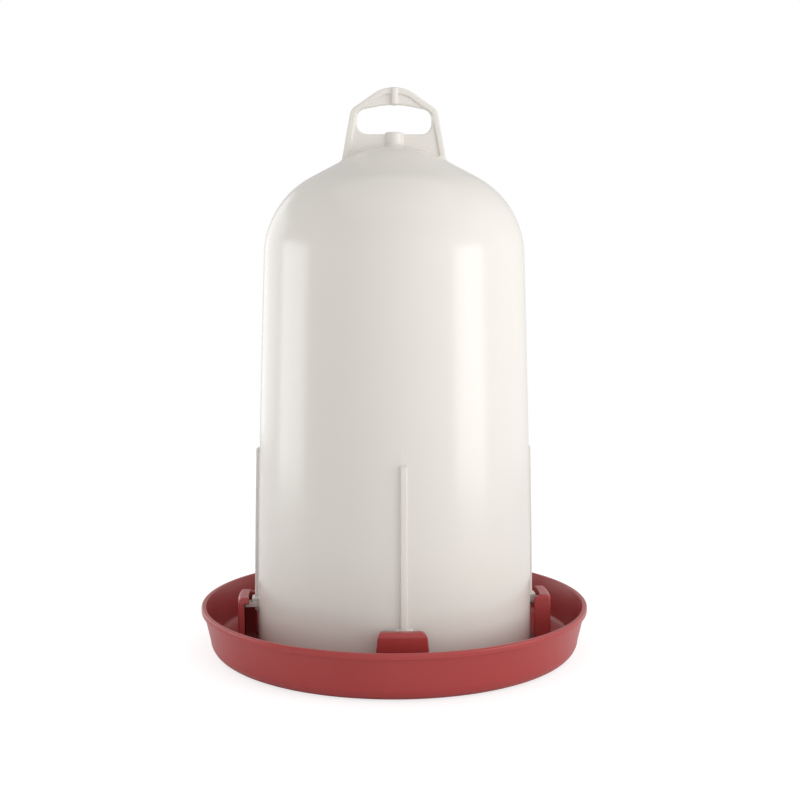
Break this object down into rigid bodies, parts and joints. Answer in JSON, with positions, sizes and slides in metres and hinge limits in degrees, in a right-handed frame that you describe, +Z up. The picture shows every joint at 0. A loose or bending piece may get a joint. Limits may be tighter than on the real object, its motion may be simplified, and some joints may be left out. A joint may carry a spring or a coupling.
{
  "type": "poultry waterer fount",
  "caption": "Top-filled double-wall poultry drinker: a white domed bell with a moulded handle locks by a bayonet into a red drinking pan and covers an inner water tank with a rotary shut-off.",
  "frame": {"origin": "centre of the pan's underside, on the ground", "axes": "+Z up along the drinker's axis; front, as pictured, is -Y; the handle's plate lies along X; the outlet of the tank is at +X"},
  "size_m": [0.35, 0.35, 0.5029],
  "materials": {
    "red_plastic": "semi-gloss moulded red plastic",
    "white_plastic": "semi-gloss moulded warm white plastic",
    "tank_plastic": "natural white moulded plastic, satin",
    "ring_plastic": "satin moulded red plastic",
    "black_rubber": "matte black rubber",
    "steel": "plain stainless steel"
  },
  "bodies": {
    "base": {"drinking_pan": "red_plastic", "inner_tank": "tank_plastic", "tank_gasket": "black_rubber", "tank_screw_1": "steel", "tank_screw_2": "steel", "tank_screw_3": "steel", "tank_screw_4": "steel", "tank_washer_1": "steel", "tank_washer_2": "steel", "tank_washer_3": "steel", "tank_washer_4": "steel"},
    "shutoff": {"valve_ring": "ring_plastic", "valve_pad": "black_rubber"},
    "bell": {"outer_bell": "white_plastic"}
  },
  "joints": [
    {"name": "bell_turn", "type": "hinge", "parent": "base", "child": "shutoff", "pos_m": [0, 0, 0.0305], "axis": [0, 0, 1], "range_deg": [0, 15]},
    {"name": "bell_lift", "type": "slide", "parent": "shutoff", "child": "bell", "axis": [0, 0, 1], "range_m": [0, 0.45]}
  ]
}
